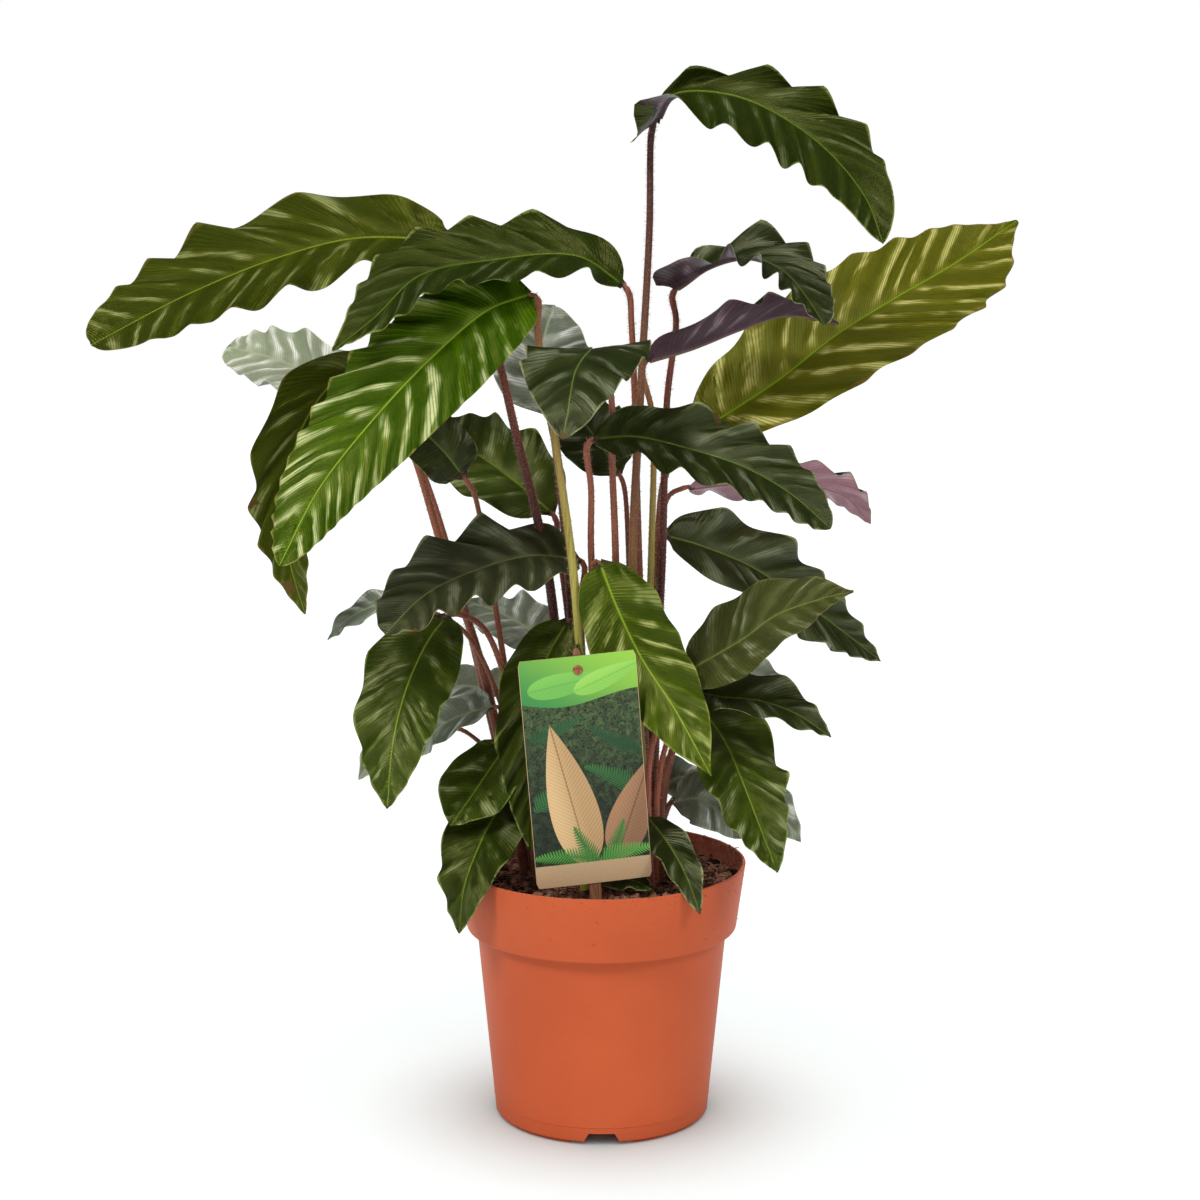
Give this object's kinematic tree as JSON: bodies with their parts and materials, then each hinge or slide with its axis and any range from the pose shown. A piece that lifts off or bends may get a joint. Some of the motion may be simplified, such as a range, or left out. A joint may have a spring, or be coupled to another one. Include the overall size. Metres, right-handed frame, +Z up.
{
  "type": "potted calathea rufibarba plant",
  "caption": "Potted prayer plant with long ruffled lance-shaped leaves on hairy stalks, standing in a round grower's pot with soil and a plant label",
  "frame": {"origin": "on the surface the pot stands on, under the middle of the whole plant's bounding box; the pot's own axis lies 11 mm towards +X and 1.6 mm towards +Y of it", "axes": "+Z up, along the pot's axis; -Y towards the side the picture shows, with the label; +X to the right seen from there"},
  "size_m": [0.5354, 0.2692, 0.6144],
  "materials": {
    "leaf_blade": "glossy dark green upper side with silvery sheen along the pleats, wine purple underside",
    "leaf_stalk": "matt red-brown to yellow-green, covered in short hairs",
    "pot_plastic": "satin terracotta-coloured moulded plastic",
    "potting_soil": "rough dark peat and coir",
    "label_stake": "plain brown",
    "label_print": "printed semi-gloss card with a plain kraft strip",
    "label_pin": "copper-coloured"
  },
  "bodies": {
    "root": {"pot": "pot_plastic", "soil": "potting_soil", "label_stake": "label_stake", "label_card": "label_print", "label_pin": "label_pin", "stalks_left_back": "leaf_stalk", "stalks_left_front": "leaf_stalk", "stalks_middle_back": "leaf_stalk", "stalks_middle_front": "leaf_stalk", "stalks_middle": "leaf_stalk", "stalks_right_front": "leaf_stalk", "stalks_right": "leaf_stalk", "stalks_right_back": "leaf_stalk", "leaf_crown": "leaf_blade", "leaf_upper_left": "leaf_blade", "leaf_upper_middle": "leaf_blade", "leaf_bright_left": "leaf_blade", "leaf_golden_right": "leaf_blade", "leaf_ruffled_right": "leaf_blade", "leaf_turned_right": "leaf_blade", "leaf_towards_front": "leaf_blade", "leaf_grey_middle": "leaf_blade", "leaf_silver_left": "leaf_blade", "leaf_hanging_far_left": "leaf_blade", "leaf_dark_left": "leaf_blade", "leaf_dark_middle": "leaf_blade", "leaf_dark_right": "leaf_blade", "leaf_pink_right": "leaf_blade", "leaf_right_back": "leaf_blade", "leaf_olive_right": "leaf_blade", "leaf_right_low_back": "leaf_blade", "leaf_right_low": "leaf_blade", "leaf_hanging_right": "leaf_blade", "leaf_bright_front": "leaf_blade", "leaf_wide_left": "leaf_blade", "leaf_small_left": "leaf_blade", "leaf_hanging_left": "leaf_blade", "leaf_pale_left": "leaf_blade", "leaf_low_left_back": "leaf_blade", "leaf_low_left": "leaf_blade", "leaf_rim_left_back": "leaf_blade", "leaf_rim_left": "leaf_blade", "leaf_behind_card": "leaf_blade", "leaf_rim_right": "leaf_blade", "leaf_pale_right_back": "leaf_blade", "leaf_pale_right": "leaf_blade", "leaf_right_tip": "leaf_blade", "leaf_on_soil": "leaf_blade", "leaf_left_tip": "leaf_blade", "leaf_dark_far_left": "leaf_blade"}
  },
  "joints": []
}
